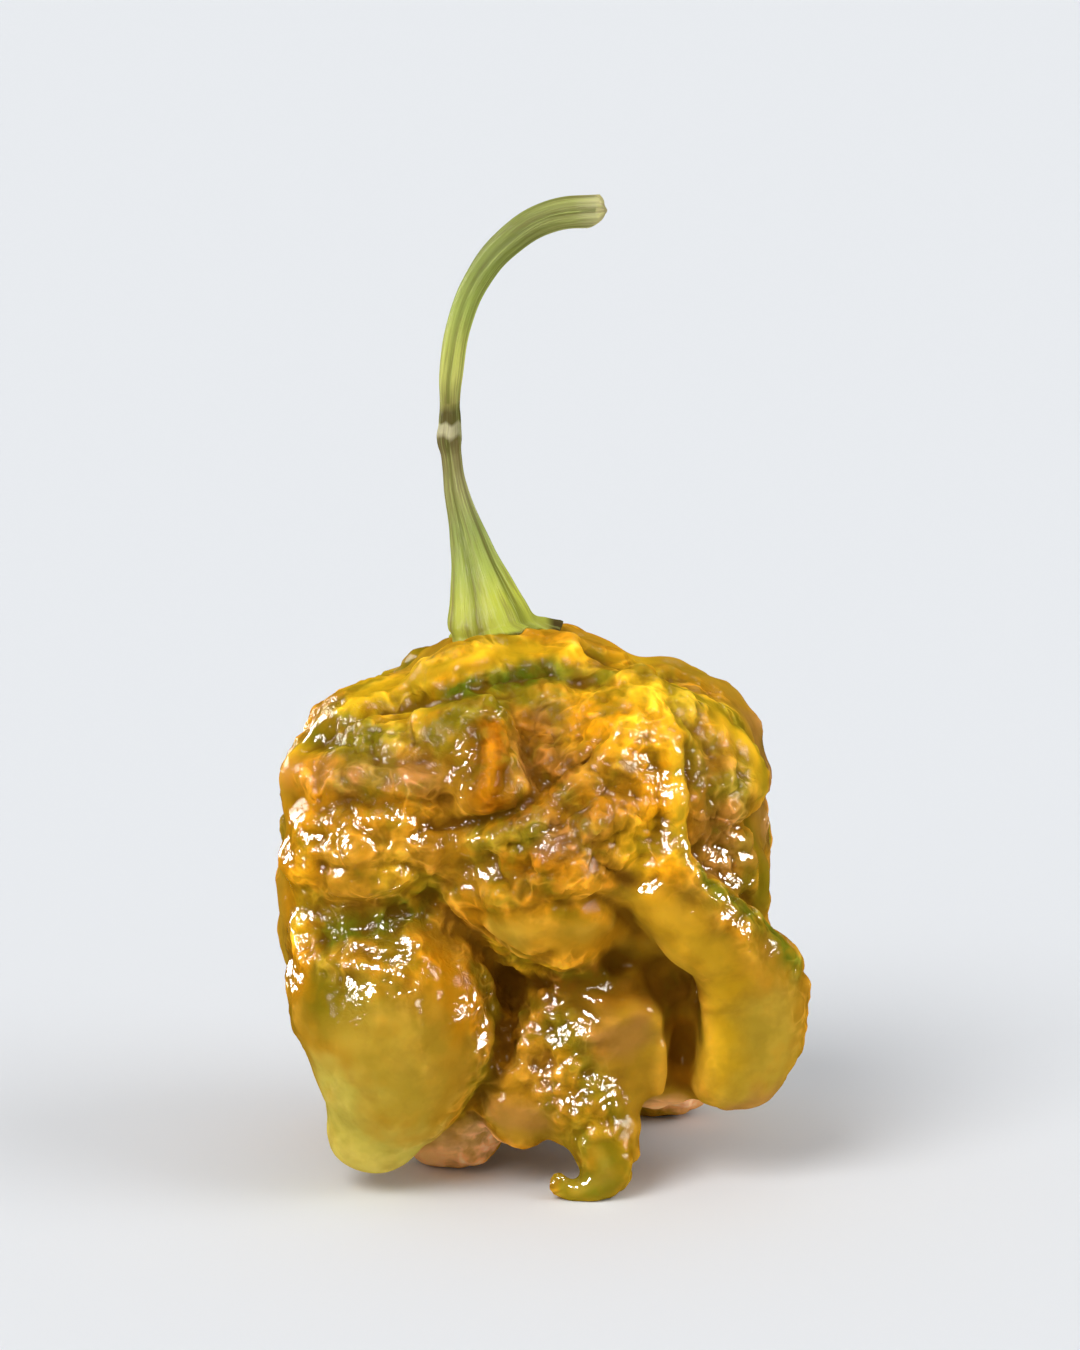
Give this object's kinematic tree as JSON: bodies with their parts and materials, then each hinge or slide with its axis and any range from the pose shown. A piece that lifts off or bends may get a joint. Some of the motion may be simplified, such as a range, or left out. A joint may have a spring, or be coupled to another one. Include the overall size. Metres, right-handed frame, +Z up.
{
  "type": "chili pepper pod",
  "caption": "Gnarled, box-shaped super-hot chili pod with hanging lobes and a hooked tail, a small calyx and a curved stem, standing on its lobes.",
  "frame": {"origin": "on the surface that the pod stands on, under the middle of the box round the pod and its stem", "axes": "+Z up along the pod's height, -Y out of the front that the picture shows, +X towards the arm-like lobe at the right of that front"},
  "size_m": [0.0398, 0.0328, 0.0739],
  "materials": {
    "pod_skin": "wet-looking glossy, crumpled skin, mustard yellow to olive and brown",
    "green_stem": "satin, finely veined, lime at the calyx and olive above"
  },
  "bodies": {
    "root": {"pod": "pod_skin", "calyx_and_stem": "green_stem"}
  },
  "joints": []
}
